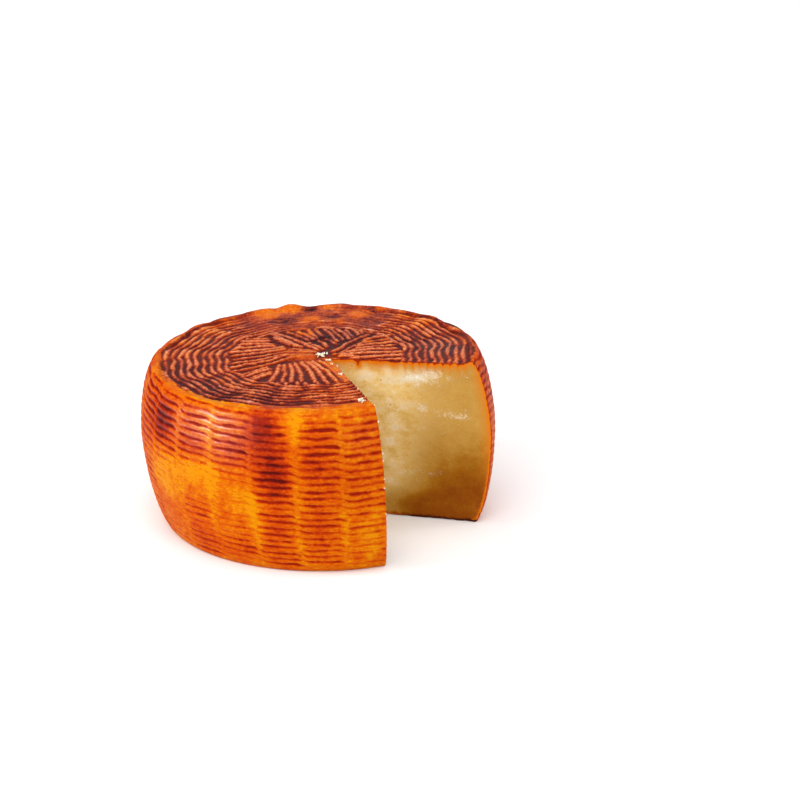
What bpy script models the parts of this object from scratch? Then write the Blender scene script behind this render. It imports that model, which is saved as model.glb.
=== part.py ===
"""A whole wheel of basket-pressed pecorino with one wedge cut out of it.

Metres, +Z up. The wheel rests on z = 0, the origin is the middle of its footprint,
and the cut notch opens towards +X and -Y.

The rind is a turned barrel. It carries the print of the basket: reeds woven in and out of
upright staves round the side, rings round the top, and bundles and fans of reeds that
cross on the middle of the top.
"""

import math

import bmesh
import bpy
import numpy as np
from mathutils import Matrix, Vector

# Driving dimensions of the pressed wheel.
BELLY_RADIUS = 0.1000
BELLY_HEIGHT = 0.0540
TOP_RADIUS = 0.0905
FOOT_RADIUS = 0.0880
WHEEL_HEIGHT = 0.0938
SHOULDER_POWER = 1.74
FOOT_POWER = 1.66

# The wheel settled a little out of true as it aged.
TOP_RISE_X = 0.0317
TOP_RISE_Y = 0.0213
TOP_LEAN_X = -0.0040

# The print of the basket. The staves are odd in number, as in any woven basket, so the
# weave has one place where it doesn't alternate: the first stave, which the cut takes out.
STAVES = 25
FIRST_STAVE = math.radians(-37.3)
HOOP_PITCH = 0.00395
HOOP_DEPTH = 0.0010
HOOP_AT_STAVE = 0.35
HOOP_WEAVE = 0.0008
HOOP_FIRST = 0.0060
HOOP_LAST = 0.0850
RING_INNER = 0.0495
RING_OUTER = 0.0855
RING_RIBS = 8
RING_DEPTH = 0.0015
FOOT_RIBS = 8
FOOT_RIB_DEPTH = 0.0008

# The middle of the top, where the reeds cross.
REED_WIDTH = 0.0034
REED_HEIGHT = 0.0013

# Each bundle or fan sweeps from its first reed to its last: the plan points of the first
# reed's two ends, of the last reed's two ends, and how many reeds there are.
MM = 0.001
SWEEPS = (
    (((-48, 27), (-27, 26.5)), ((-45, -22), (-16, -10)), 10),
    (((-40, 32.5), (-29, 32)), ((-40, 32.5), (-29, 32)), 1),
    (((-29, 39), (-9, 13)), ((-25, 44), (3, 6)), 3),
    (((-19, 44), (-7, 25)), ((-4, 49), (0, 33)), 4),
    (((0, 24), (6, 11)), ((4, 38), (13, 18)), 2),
    (((8, 42), (17, 22)), ((29, 42), (28, 34)), 5),
    (((9, 4), (32, 36)), ((13, 3), (30, 25)), 2),
    (((29, 19), (40, 29)), ((18, 2), (49, 4.5)), 5),
    (((16, -1.5), (50, -0.5)), ((24, -6), (50, -5)), 2),
    (((-21, -19), (-23, -45)), ((3, -8), (20, -42)), 8),
    (((-14, -41), (-13.5, -48)), ((6, -41), (9, -48)), 4),
    (((-38, -29), (-27, -21)), ((-31, -38), (-25, -30)), 3),
)

# The cut: two flat knife faces that meet in a slightly slanting line.
CUT_FRONT_HEADING = math.radians(-72.3)
CUT_BACK_HEADING = math.radians(-13.4)
CUT_APEX_TOP = (0.0069, -0.0036)
CUT_APEX_FOOT = (0.0124, -0.0006)
CUT_REACH = 0.150
CUT_MARGIN = 0.020

# One reed's print in section: how far across its pitch each point lies, and whether it is
# down in a groove (0) or up on the reed's rounded face (1).
REED_SECTION = ((0.0, 0.0), (0.28, 1.0), (0.72, 1.0))

# How smoothly the curved faces are divided.
COLUMNS = 2 * STAVES
SHOULDER_STEPS = 3
FOOT_STEPS = 3
CURVE_SAMPLES = 400
MERGE = 0.00001

# Lumps of the shoulder: waves round the wheel, height in metres, and phase.
LUMPS = ((2, 0.0006, 0.4), (5, 0.0005, 2.1), (9, 0.0006, 1.2), (14, 0.0004, 4.0))


def clear_scene():
    for item in list(bpy.data.objects):
        bpy.data.objects.remove(item, do_unlink=True)


def new_collection(name):
    collection = bpy.data.collections.new(name)
    bpy.context.scene.collection.children.link(collection)
    return collection


def food_material(name, color, roughness):
    material = bpy.data.materials.new(name)
    material.use_nodes = True
    shader = material.node_tree.nodes["Principled BSDF"]
    shader.inputs["Base Color"].default_value = (*color, 1.0)
    shader.inputs["Roughness"].default_value = roughness
    shader.inputs["Metallic"].default_value = 0.0
    return material


def smoothstep(low, high, value):
    share = min(1.0, max(0.0, (value - low) / (high - low)))
    return share * share * (3.0 - 2.0 * share)


def side_curve():
    """The barrel's side from the top edge down to the foot, as closely spaced points."""
    points = []
    for step in range(CURVE_SAMPLES + 1):
        share = 1.0 - step / CURVE_SAMPLES
        bulge = (1.0 - share**SHOULDER_POWER) ** (1.0 / SHOULDER_POWER)
        radius = TOP_RADIUS + (BELLY_RADIUS - TOP_RADIUS) * bulge
        points.append((radius, BELLY_HEIGHT + (WHEEL_HEIGHT - BELLY_HEIGHT) * share))
    for step in range(1, CURVE_SAMPLES + 1):
        share = step / CURVE_SAMPLES
        bulge = (1.0 - share**FOOT_POWER) ** (1.0 / FOOT_POWER)
        radius = FOOT_RADIUS + (BELLY_RADIUS - FOOT_RADIUS) * bulge
        points.append((radius, BELLY_HEIGHT * (1.0 - share)))
    return np.array(points)


def reed_points(start, stop, count):
    """Points across count reeds side by side, each as (place, 0 in a groove or 1 on a reed)."""
    pitch = (stop - start) / count
    points = [(start + (k + share) * pitch, up) for k in range(count) for share, up in REED_SECTION]
    return points + [(stop, 0.0)]


def wheel_section():
    """Stations from the middle of the top to the middle of the foot.

    Each station is (radius, height, outward radius part, outward height part, lift), and
    lift is how far the basket's print stands out, or in where it is negative.
    """
    stations = [(0.0, WHEEL_HEIGHT, 0.0, 1.0, -RING_DEPTH)]
    for radius, up in reed_points(RING_INNER, RING_OUTER, RING_RIBS):
        stations.append((radius, WHEEL_HEIGHT, 0.0, 1.0, (up - 1.0) * RING_DEPTH))

    curve = side_curve()
    steps = np.diff(curve, axis=0)
    lengths = np.concatenate([[0.0], np.cumsum(np.hypot(*steps.T))])
    first = np.interp(-HOOP_LAST, -curve[:, 1], lengths)
    last = np.interp(-HOOP_FIRST, -curve[:, 1], lengths)
    hoops = round((last - first) / HOOP_PITCH)
    stops = [(first * k / SHOULDER_STEPS, 0.0) for k in range(SHOULDER_STEPS)]
    for length, up in reed_points(first, last, hoops):
        stops.append((length, (up - 0.5) * HOOP_DEPTH))
    foot = lengths[-1] - last
    stops += [(last + foot * k / FOOT_STEPS, 0.0) for k in range(1, FOOT_STEPS + 1)]
    for length, lift in stops:
        radius, height = (np.interp(length, lengths, curve[:, axis]) for axis in (0, 1))
        ahead = [np.interp(length + HOOP_PITCH / 4, lengths, curve[:, axis]) for axis in (0, 1)]
        behind = [np.interp(length - HOOP_PITCH / 4, lengths, curve[:, axis]) for axis in (0, 1)]
        across = Vector((ahead[0] - behind[0], ahead[1] - behind[1])).normalized()
        stations.append((radius, height, -across.y, across.x, lift))

    for half in range(2 * FOOT_RIBS, -1, -1):
        radius = RING_INNER + (RING_OUTER - RING_INNER) * half / (2 * FOOT_RIBS)
        stations.append((radius, 0.0, 0.0, -1.0, 0.0 if half % 2 == 0 else -FOOT_RIB_DEPTH))
    stations.append((0.0, 0.0, 0.0, -1.0, 0.0))
    return np.array(stations)


def turned_wheel(collection, material):
    """The barrel, turned from its section by a Screw modifier and then pressed."""
    section = wheel_section()
    mesh = bpy.data.meshes.new("wheel_profile")
    side = (math.cos(FIRST_STAVE), math.sin(FIRST_STAVE))
    points = [(radius * side[0], radius * side[1], height) for radius, height in section[:, :2]]
    mesh.from_pydata(points, [(k, k + 1) for k in range(len(points) - 1)], [])
    profile = bpy.data.objects.new("wheel_profile", mesh)
    collection.objects.link(profile)
    screw = profile.modifiers.new("turn", "SCREW")
    screw.steps = screw.render_steps = COLUMNS
    screw.use_merge_vertices = True
    screw.merge_threshold = MERGE

    evaluated = profile.evaluated_get(bpy.context.evaluated_depsgraph_get())
    solid = bpy.data.meshes.new_from_object(evaluated)
    bpy.data.objects.remove(profile, do_unlink=True)
    press_basket(solid, section)
    solid.materials.clear()
    solid.materials.append(material)
    wheel = bpy.data.objects.new("cheese_wheel", solid)
    collection.objects.link(wheel)
    return wheel


def press_basket(mesh, section):
    """Moves each point of the barrel out to a reed or in between two of them.

    On the side a reed bulges most halfway between two staves, and there it also weaves a
    little up in one panel and a little down in the next.
    """
    for vertex in mesh.vertices:
        x, y, height = vertex.co
        radius = math.hypot(x, y)
        gaps = np.hypot(section[:, 0] - radius, section[:, 1] - height)
        _, _, out_radius, out_height, lift = section[int(np.argmin(gaps))]
        angle = math.atan2(y, x)
        if abs(out_radius) > 0.5 and lift:
            panels = (angle - FIRST_STAVE) % math.tau / math.tau * STAVES
            bulge = math.sin(math.pi * (panels % 1.0)) ** 2
            lift *= HOOP_AT_STAVE + (1.0 - HOOP_AT_STAVE) * bulge
            vertex.co.z += HOOP_WEAVE * math.sin(math.pi * panels)
        vertex.co.x += lift * out_radius * math.cos(angle)
        vertex.co.y += lift * out_radius * math.sin(angle)
        vertex.co.z += lift * out_height


def rosette_reeds():
    """Every reed of the middle of the top, as its two ends on the plan."""
    reeds = []
    for first, last, count in SWEEPS:
        for k in range(count):
            share = k / max(1, count - 1)
            ends = [Vector(a).lerp(Vector(b), share) * MM for a, b in zip(first, last)]
            reeds.append(ends)
    return reeds


def press_reeds(collection, material):
    """One rounded bar for each reed of the rosette, standing in the sunken middle of the top."""
    floor = WHEEL_HEIGHT - RING_DEPTH
    for number, (start, end) in enumerate(rosette_reeds()):
        middle = (start + end) / 2
        span = end - start
        shape = bmesh.new()
        bmesh.ops.create_uvsphere(shape, u_segments=8, v_segments=4, radius=1.0)
        half_width = REED_WIDTH / 2
        stretch = max(0.0, span.length / 2 - half_width)
        for vertex in shape.verts:
            x, y, z = vertex.co
            shift = stretch if z > MERGE else -stretch if z < -MERGE else 0.0
            vertex.co = (z * half_width + shift, y * half_width, -x * REED_HEIGHT)
        bmesh.ops.recalc_face_normals(shape, faces=shape.faces)
        mesh = bpy.data.meshes.new(f"reed_{number:02d}")
        shape.to_mesh(mesh)
        shape.free()
        mesh.materials.append(material)
        reed = bpy.data.objects.new(f"reed_{number:02d}", mesh)
        turn = Matrix.Rotation(math.atan2(span.y, span.x), 4, "Z")
        reed.matrix_world = Matrix.Translation((middle.x, middle.y, floor)) @ turn
        collection.objects.link(reed)


def apply_boolean(item, operation, **target):
    """Joins item with, or cuts it by, another object or collection, for good."""
    boolean = item.modifiers.new("join_or_cut", "BOOLEAN")
    boolean.operation = operation
    boolean.solver = "EXACT"
    boolean.material_mode = "TRANSFER"
    for name, value in target.items():
        setattr(boolean, name, value)
    evaluated = item.evaluated_get(bpy.context.evaluated_depsgraph_get())
    mesh = bpy.data.meshes.new_from_object(evaluated)
    item.modifiers.clear()
    item.data = mesh


def settle(mesh):
    """Leans the top, raises it towards +X and +Y, and gives the shoulder its lumps."""
    for vertex in mesh.vertices:
        x, y, z = vertex.co
        angle, radius = math.atan2(y, x), math.hypot(x, y)
        share = z / WHEEL_HEIGHT
        near_edge = smoothstep(RING_OUTER * 0.75, TOP_RADIUS, radius) * smoothstep(0.45, 0.9, share)
        lump = sum(size * math.sin(waves * angle + phase) for waves, size, phase in LUMPS)
        vertex.co.z += share * (TOP_RISE_X * x + TOP_RISE_Y * y) + near_edge * lump
        vertex.co.x += TOP_LEAN_X * (z - BELLY_HEIGHT) / WHEEL_HEIGHT


def notch_cutter(collection, material):
    """The space of the missing wedge, run past the top, the foot and the rind."""
    top, foot = Vector(CUT_APEX_TOP), Vector(CUT_APEX_FOOT)
    shape = bmesh.new()
    for height in (-CUT_MARGIN, WHEEL_HEIGHT + CUT_MARGIN):
        apex = foot.lerp(top, height / WHEEL_HEIGHT)
        shape.verts.new((*apex, height))
        for heading in (CUT_FRONT_HEADING, CUT_BACK_HEADING):
            reach = Vector((math.cos(heading), math.sin(heading))) * CUT_REACH
            shape.verts.new((*(apex + reach), height))
    bmesh.ops.convex_hull(shape, input=shape.verts)
    bmesh.ops.recalc_face_normals(shape, faces=shape.faces)
    mesh = bpy.data.meshes.new("notch_cutter")
    shape.to_mesh(mesh)
    shape.free()
    mesh.materials.append(material)
    cutter = bpy.data.objects.new("notch_cutter", mesh)
    cutter.hide_render = True
    cutter.display_type = "WIRE"
    collection.objects.link(cutter)
    return cutter


def centre_footprint(mesh):
    """Puts the origin in the middle of the wheel's outline, on the surface it rests on."""
    corners = np.array([vertex.co for vertex in mesh.vertices])
    low, high = corners.min(axis=0), corners.max(axis=0)
    middle = (low + high) / 2
    mesh.transform(Matrix.Translation((-middle[0], -middle[1], -low[2])))


def build_wheel():
    clear_scene()
    parts = new_collection("pecorino_wheel")
    cutters = new_collection("cutters")
    reeds = new_collection("rosette_reeds")
    rind = food_material("rind", (0.62, 0.13, 0.02), 0.42)
    paste = food_material("paste", (0.80, 0.66, 0.36), 0.75)

    wheel = turned_wheel(parts, rind)
    press_reeds(reeds, rind)
    bpy.context.view_layer.update()
    apply_boolean(wheel, "UNION", operand_type="COLLECTION", collection=reeds)
    for reed in list(reeds.objects):
        bpy.data.objects.remove(reed, do_unlink=True)
    settle(wheel.data)
    apply_boolean(wheel, "DIFFERENCE", object=notch_cutter(cutters, paste))
    centre_footprint(wheel.data)
    return wheel


build_wheel()
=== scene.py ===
"""Looks of a wheel of basket-pressed pecorino with one wedge cut out.

The wheel is one skin: a dyed and oiled rind that carries the print of the basket, and two
knife-cut faces of paste. It is laid out in millimetres round the wheel's own axis, printed
by Geometry Nodes, and then settled a little out of true.
"""

import math

import bmesh
import bpy
import numpy as np
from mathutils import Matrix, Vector, geometry


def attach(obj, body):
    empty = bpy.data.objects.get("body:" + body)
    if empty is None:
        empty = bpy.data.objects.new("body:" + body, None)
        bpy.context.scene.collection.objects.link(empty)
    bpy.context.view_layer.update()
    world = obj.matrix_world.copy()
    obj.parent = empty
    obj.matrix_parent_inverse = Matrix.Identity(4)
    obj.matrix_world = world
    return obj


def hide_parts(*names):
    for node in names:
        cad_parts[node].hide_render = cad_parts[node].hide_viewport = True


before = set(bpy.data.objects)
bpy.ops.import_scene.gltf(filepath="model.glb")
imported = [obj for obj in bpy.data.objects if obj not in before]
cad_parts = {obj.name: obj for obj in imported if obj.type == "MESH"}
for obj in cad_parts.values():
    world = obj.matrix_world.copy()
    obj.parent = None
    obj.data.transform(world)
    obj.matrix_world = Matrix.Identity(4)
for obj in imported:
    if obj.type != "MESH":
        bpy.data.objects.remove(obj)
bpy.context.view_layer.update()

MM = 0.001
WHEEL_BODY = "root"
WHEEL_NODE = "cheese_wheel"

# The barrel, in millimetres from its own axis.
BELLY_RADIUS = 100.0
BELLY_HEIGHT = 54.0
TOP_RADIUS = 90.5
FOOT_RADIUS = 88.0
WHEEL_HEIGHT = 93.8
SHOULDER_POWER = 1.74
FOOT_POWER = 1.66

# How it settled as it aged, and where the middle of its outline lies from its axis.
TOP_RISE = (0.0317, 0.0213)
TOP_LEAN = -4.0
OUTLINE_MIDDLE = (0.15, -0.14)

# The basket: upright staves, reeds woven through them, rings round the flat faces. Each panel's
# reeds lie half a pitch from its neighbours', but for one pair, as the staves are odd in number.
STAVES = 25
FIRST_STAVE = 92.3
PANEL = 360.0 / STAVES
HOOP_PITCH = 4.22
HOOPS_BELOW = 12
HOOPS_ABOVE = 10
RING_FIRST = 50.1
RING_PITCH = 4.28
RINGS = 10
PRINT_RADIUS = 86.5
PRINT_DEPTH = 1.5
FOOT_PRINT_DEPTH = 0.8

# The reeds of the flat faces: how far they lift the skin, and over what reach.
TOP_RINGS = (1.35, 1.32)
TOP_ROSETTE = (1.3, 1.45)
FOOT_RINGS = (0.75, 1.6)
FOOT_ROSETTE = (0.7, 1.6)

# The slots in the side: depth, extra depth high up, and how the reeds spread apart low down.
# The ridges at the staves: height and width.
SLOT_DEPTH = 0.66
SLOT_DEPTH_GAIN = 0.2
HOOP_SPREAD = 0.011
STAVE_LIFT = 0.5
STAVE_REACH = 2.0

# The cut, measured on the settled wheel: headings in degrees and where the knife turned.
CUT_FRONT = -72.3
CUT_BACK = -13.4
APEX_TOP = (6.92, -3.59)
APEX_FOOT = (12.38, -0.58)

# How finely the skin is divided.
PROFILE_STEPS = 300
COLUMNS = 300
INNER_RADIUS = 12.0
INNER_ROWS = 9
TOP_ROW = 0.82
SIDE_ROW = 0.68
FOOT_ROW = 2.6
FOOT_INNER_ROWS = 4
PASTE_STEP = 1.5
SEAM_POINTS = 64

# Reeds on the middle of the top. Each bundle or fan sweeps from its first reed to its last:
# plan x and y of the first reed's two ends, of the last reed's, how many, and their bow.
SWEEPS = (
    (-42, 34, -26, 33.5, -42, 34, -26, 33.5, 1, 0.3),
    (-44, 29, -25, 29, -46.5, 17.5, -22, 19, 3, 0.4),
    (-49, 11.5, -17, 17, -46, -23, -12, -2, 6, -0.9),
    (-41, -29, -23, -16, -33, -38, -23, -27, 4, 0.5),
    (-28, 48, 2, 9, -28, 48, 2, 9, 1, 0.6),
    (-27, 43, -7, 15, -23, 29, -15, 19, 3, 0.4),
    (-18, 45, -4, 26, -3, 49, 3, 33, 4, 0.5),
    (-6, 23, 5, 11, 0, 29, 7.5, 14, 2, 0.4),
    (5, 31, 12, 17, 5, 31, 12, 17, 1, 0.4),
    (3, 49, 13, 22, 28, 46, 30, 38, 7, 0.6),
    (9, 4.5, 30.5, 37, 14, 3, 37, 36, 2, 0.9),
    (26, 24, 43, 33, 15, -0.5, 49.5, 2.5, 6, 1.2),
    (20, -5.5, 50, -3, 30, -9.5, 50, -8.5, 2, 0.4),
    (-17, 13, 0, 9, -14, -3, 1, -1, 4, 0.4),
    (9, 2, 24, 1.5, 13, -2.5, 24, -2.5, 2, 0.2),
    (-20, -12, -24, -44, 2, -7, 20, -45, 8, 1.2),
    (-19, -41, -20, -48, 12, -41, 15, -48, 7, 0),
)

# Knobs and dents of the top and its rim: plan place, reach and height, all in millimetres.
KNOBS = (
    (-18, 88, 6, 1.7), (-7, 87, 3.5, -1.6), (5, 84, 5, 1.3), (14, 88, 6, 1), (23, 73, 6, 1.3),
    (31, 59, 5, -1.5), (32, 78, 4, -1.6), (38, 84, 5, 0.8), (-31, 78, 7, 1.2), (-22, 66, 5, -1.3),
    (-4, 68, 7, 1), (14, 61, 5, 0.8), (-42, 73, 6, 0.8), (8, 72, 4, -1.2), (-12, 77, 4, -1.1),
    (3, 28, 4, -0.8), (-12, 0, 9, 1.1), (-2, -2, 5, 0.9), (47, 63, 6, 0.8), (-56, 64, 7, 0.9),
    (60, 52, 5, 0.7), (-64, 42, 8, 0.6),
)

# Dye and oil on the side, and soot on the flat faces, where no spot below adds to them.
BASE_DYE = 0.26
BASE_OIL = 0.01
BASE_SOOT = 0.22

# Where the side's dye wore thin (negative) or pooled (positive): degrees, height, half
# width in degrees, half height, strength. The thinning at 236 degrees and 84 mm is partly
# painted sheen: it lightens the glossy upper panels so their highlights look paler.
SIDE_DYE_AND_SHEEN = (
    (214, 46, 12, 12, -0.22), (222, 52, 3, 18, -0.14), (232, 55, 8, 8, -0.2),
    (236, 84, 16, 9, -0.2), (236.5, 50, 2.6, 20, -0.18), (245, 42, 6, 8, -0.22),
    (251, 30, 2.6, 22, -0.2), (265.2, 66, 2.6, 30, -0.18), (266, 87, 4, 7, -0.12),
    (279.5, 24, 1.8, 12, -0.06), (186, 14, 12, 16, -0.16), (284, 20, 6, 20, -0.1),
    (288, 22, 3, 30, -0.18), (213, 78, 6, 11, 0.76), (229, 78, 6, 12, 0.18), (229, 69, 6, 4, 0.14),
    (243, 70, 5, 14, 0.12), (255, 86, 5, 10, 0.66), (258, 64, 5.5, 14, 0.52), (258, 30, 5, 24, 0.2),
    (272, 64, 6, 16, 0.26), (250, 76, 5, 10, 0.2), (272, 30, 5, 18, 0.16), (272, 84, 5, 10, 0.14),
    (287, 62, 6, 24, 0.08), (200, 70, 8, 20, 0.14), (232, 12, 8, 12, 0.16), (212, 20, 14, 18, 0.08),
    (248, 12, 6, 6, 0.12), (190, 55, 6, 24, 0.08), (150, 60, 24, 40, 0.1), (135, 90, 30, 9, 0.34),
    (58, 88, 30, 12, 0.36), (90, 60, 40, 34, 0.12), (8, 78, 20, 26, 0.26), (175, 90, 14, 6, 0.16),
    (240, 94, 34, 1.2, -0.08),
)

# Where oil stayed wet on the side, as above.
SIDE_OIL = (
    (229, 82, 9, 12, 1.2), (243, 83, 8, 12, 1.2), (214, 82, 6, 8, 0.25), (243, 68, 6, 6, 0.25),
    (186, 66, 12, 14, 0.03), (287, 80, 8, 10, 0.08), (6, 66, 14, 26, 0.3), (120, 86, 40, 10, 0.15),
)

# Where the side wore smooth, as above.
SIDE_WEAR = (
    (214, 32, 9, 26, 0.7), (229, 48, 8, 12, 0.65), (231, 20, 8, 14, 0.32), (243, 44, 7, 13, 0.68),
    (243, 16, 7, 14, 0.22), (186, 24, 12, 24, 0.5), (258, 16, 6, 10, 0.18), (287, 12, 8, 14, 0.32),
    (287, 93, 8, 5, 0.5), (272, 93, 8, 5, 0.6), (258, 93, 7, 4, 0.5), (265, 80, 2.5, 14, 0.7),
)

# How far out the look of the top reaches: degrees and radius.
RIM_EDGE = (
    (-180, 87), (-150, 85), (-120, 82.5), (-72, 82.5), (-13, 89), (40, 92), (130, 92), (160, 89),
    (180, 87),
)

# Where the top stayed orange: plan place, reach, strength.
TOP_ORANGE = (
    (-12, 4, 8, 0.35), (-3, -3, 6, 0.35), (9, -2, 4, 1.2), (9, -12, 4, 1), (12, -22, 4, 1),
    (15, -33, 4, 0.9), (17, -43, 4, 0.6), (-18, 87, 5, 1.8), (-31, 78, 6, 1.5), (23, 74, 5, 1.8),
    (-4, 68, 5, 1.1), (14, 61, 4, 0.9), (38, 84, 5, 1.4), (5, 86, 4, 1), (-57, 66, 8, 0.7),
    (-8, 42, 8, 0.5), (-64, 44, 9, 0.4), (-76, 28, 9, 0.4), (86, 18, 7, 0.5), (62, 54, 8, 0.5),
    (-84, -6, 8, 0.4), (-66, 8, 7, 0.3), (10, -60, 8, 0.3), (30, 20, 8, 0.2), (50, 66, 7, 0.5),
)

# Where the top is wet with oil, as above.
TOP_SHEEN = ((72, 10, 14, 0.1), (-62, 45, 18, 0.07), (20, 84, 14, 0.08), (-58, -48, 14, 0.05))

# Where the top's grooves blackened, as above.
TOP_SOOT = (
    (-60, -42, 20, 0.4), (-76, -14, 14, 0.25), (74, 8, 15, 0.45), (58, 22, 14, 0.3),
    (3, 30, 4, 0.7), (-28, 34, 14, 0.15), (4, -76, 14, 0.1), (-30, -66, 20, 0.45),
    (-5, -38, 14, 0.15), (-7, 87, 4.5, 0.8), (32, 78, 5, 0.8), (31, 59, 6, 0.8), (-22, 66, 7, 0.7),
    (8, 72, 4, 0.6), (5, 80, 3, 0.5), (-12, 76, 4, 0.5), (48, 72, 6, 0.5), (-46, 58, 10, 0.3),
    (-66, 28, 12, 0.2), (14, 30, 14, 0.15), (0, 60, 30, 0.22), (34, 66, 14, 0.2),
    (-46, -60, 14, 0.45), (20, 34, 16, 0.35), (0, 30, 13, 0.35), (34, 14, 14, 0.25),
    (-32, 6, 16, 0.16), (-20, 36, 10, 0.2),
)

# Where the reeds missed the top and it stayed smooth, as above.
SMOOTH_SPOTS = (
    (-12, 4, 8, 0.6), (-3, -3, 6, 0.6), (-18, 86, 8, 0.9), (5, 84, 6, 0.7), (23, 74, 6, 0.7),
    (-31, 77, 8, 0.6), (-4, 68, 6, 0.5), (31, 60, 6, 0.6), (38, 84, 6, 0.6),
)

# Whiter patches of the paste: place along the cut from its apex, height, half width, half
# height, strength.
PALE_PATCHES = (
    (57, 85, 13, 4.5, 1.05), (44, 82, 8, 3, 0.5), (22, 84, 9, 3, 0.45), (34, 81, 7, 3, 0.45),
    (66, 64, 8, 2.2, 0.5), (52, 65, 6, 1.8, 0.5), (76, 62, 7, 3, 0.6), (70, 46, 5, 2.4, 0.45),
    (34, 64, 8, 2.4, 0.4), (60, 70, 16, 2, 0.25), (46, 52, 14, 2.4, 0.3), (80, 76, 6, 2, 0.3),
    (42, 28, 8, 3, 0.55), (58, 27, 6, 2.6, 0.45), (26, 44, 7, 2.4, 0.35), (50, 18, 8, 1.6, 0.5),
)

# Where the dye soaked deep into the cut's top edge: radius, half width, strength.
TOP_TEETH = ((14, 9, 0.4), (25.5, 2.2, 0.85), (36, 5.5, 0.45), (45.5, 2.2, 0.55))

# Dyes of the top from its grooves to its crests, and where each one starts and is full. The palest,
# last colour of each face is a painted highlight on the crests' tops.
CREST_STEPS = ((0.05, 0.3), (0.3, 0.6), (0.6, 0.9), (0.9, 1.3))
RED_FACE = ("#50120E", "#82220E", "#A83E18", "#C46232", "#DC9C7A")
BLACK_FACE = ("#341214", "#5C1E1C", "#923E2C", "#BA6C50", "#D8A494")
ORANGE_FACE = ("#701E06", "#A03606", "#BE500A", "#D06E18", "#E29A4C")

# Crumbs on the top: plan place, spread, how many, largest radius.
CRUMB_HEAPS = (
    (2.8, -0.6, 1.2, 18, 0.8), (5, 1.8, 0.9, 6, 0.7), (8.2, -8.4, 0.7, 12, 0.7),
    (15, -32.5, 0.6, 8, 0.6), (27.6, -75, 0.9, 14, 0.8), (10, -15, 0.6, 5, 0.5),
)
EDGE_CRUMBS = 14

# The camera stands where the photograph's stood, and looks down a little.
CAMERA_PLACE = (0.045917, -1.174342, 0.471657)
CAMERA_DIP = 0.332
CAMERA_LENS = 99.0

# Wide lights so far off that they light the floor evenly: name, heading, height and width in
# degrees, strength.
FAR_LIGHTS = (
    ("left_key", -152, 24, 34, 0.38),
    ("front_fill", -108, 30, 40, 0.87),
    ("right_fill", -62, 26, 40, 0.96),
    ("overhead_fill", -100, 82, 60, 1.35),
)

# Softboxes: name, place, width and height in metres, power in watts.
SOFTBOXES = (
    ("left_softbox", (-1.1, -0.3, 0.85), (0.45, 0.45), 8.5),
    ("back_softbox", (0.1, 1.4, 0.62), (1.5, 0.35), 3.0),
    ("right_softbox", (1.3, 0.25, 0.5), (0.4, 0.7), 4.0),
)
SOFTBOX_TARGET = (0.0, 0.0, 0.05)
HORIZON_STRENGTH = 0.07
ZENITH_STRENGTH = 0.52
BACKDROP_STRENGTH = 1.05


def rgb(code):
    """A linear colour from an sRGB hex code."""
    channels = [int(code[k:k + 2], 16) / 255 for k in (1, 3, 5)]
    return (*[c / 12.92 if c <= 0.04045 else ((c + 0.055) / 1.055) ** 2.4 for c in channels], 1.0)


def ease(low, high, value):
    """0 up to low and 1 from high on, with a smooth rise between them."""
    share = np.clip((np.asarray(value, float) - low) / (high - low), 0.0, 1.0)
    return share * share * (3.0 - 2.0 * share)


def side_profile():
    """The barrel's side from the top edge to the foot: radius, height, length so far."""
    steps = np.sin(np.linspace(0, math.pi / 2, PROFILE_STEPS))
    upper, lower = steps[::-1], steps[1:]
    radius = np.concatenate([
        edge + (BELLY_RADIUS - edge) * (1 - share**power) ** (1 / power)
        for edge, share, power in (
            (TOP_RADIUS, upper, SHOULDER_POWER), (FOOT_RADIUS, lower, FOOT_POWER))
    ])
    height = np.concatenate([
        BELLY_HEIGHT + (WHEEL_HEIGHT - BELLY_HEIGHT) * upper,
        BELLY_HEIGHT * (1 - lower),
    ])
    length = np.concatenate([[0.0], np.cumsum(np.hypot(np.diff(radius), np.diff(height)))])
    return radius, height, length


def sink(radius, depth):
    """How far a flat face's printed middle lies under its lip."""
    return depth * (1 - ease(PRINT_RADIUS - 1.5, PRINT_RADIUS + 2.0, radius))


def on_profile(length, step):
    """The side at lengths from its top edge: radius, height, outward radius and height parts."""
    radii, heights, lengths = side_profile()
    near = length + step * np.array([[-1.0], [0.0], [1.0]])
    before, radius, after = np.interp(near, lengths, radii)
    above, height, below = np.interp(near, lengths, heights)
    return radius, height, above - below, after - before


def stations():
    """The rind's rows from the middle of the top to under the foot, as on_profile has them."""
    top = np.arange(INNER_RADIUS, TOP_RADIUS - 0.3, TOP_ROW)
    rows = [(radius, WHEEL_HEIGHT - sink(radius, PRINT_DEPTH), 0.0, 1.0) for radius in top]
    whole = side_profile()[2][-1]
    side = np.linspace(0.0, whole, round(whole / SIDE_ROW))
    radius, height, out_radius, out_height = on_profile(side, 0.8)
    size = np.hypot(out_radius, out_height)
    rows += zip(radius, height, out_radius / size, out_height / size)
    foot = np.arange(FOOT_RADIUS - FOOT_ROW, INNER_RADIUS, -FOOT_ROW)
    rows += [(radius, sink(radius, FOOT_PRINT_DEPTH), 0.0, -1.0) for radius in foot]
    return np.array(rows)


def lean(height):
    return TOP_LEAN * (np.asarray(height) - BELLY_HEIGHT) / WHEEL_HEIGHT


def apex(height):
    """Where the two knife faces meet at a height, in the wheel's own frame before settling."""
    share = np.asarray(height, float) / WHEEL_HEIGHT
    x = APEX_FOOT[0] + (APEX_TOP[0] - APEX_FOOT[0]) * share - lean(height)
    y = APEX_FOOT[1] + (APEX_TOP[1] - APEX_FOOT[1]) * share
    return np.stack([x, y], axis=-1)


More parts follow.
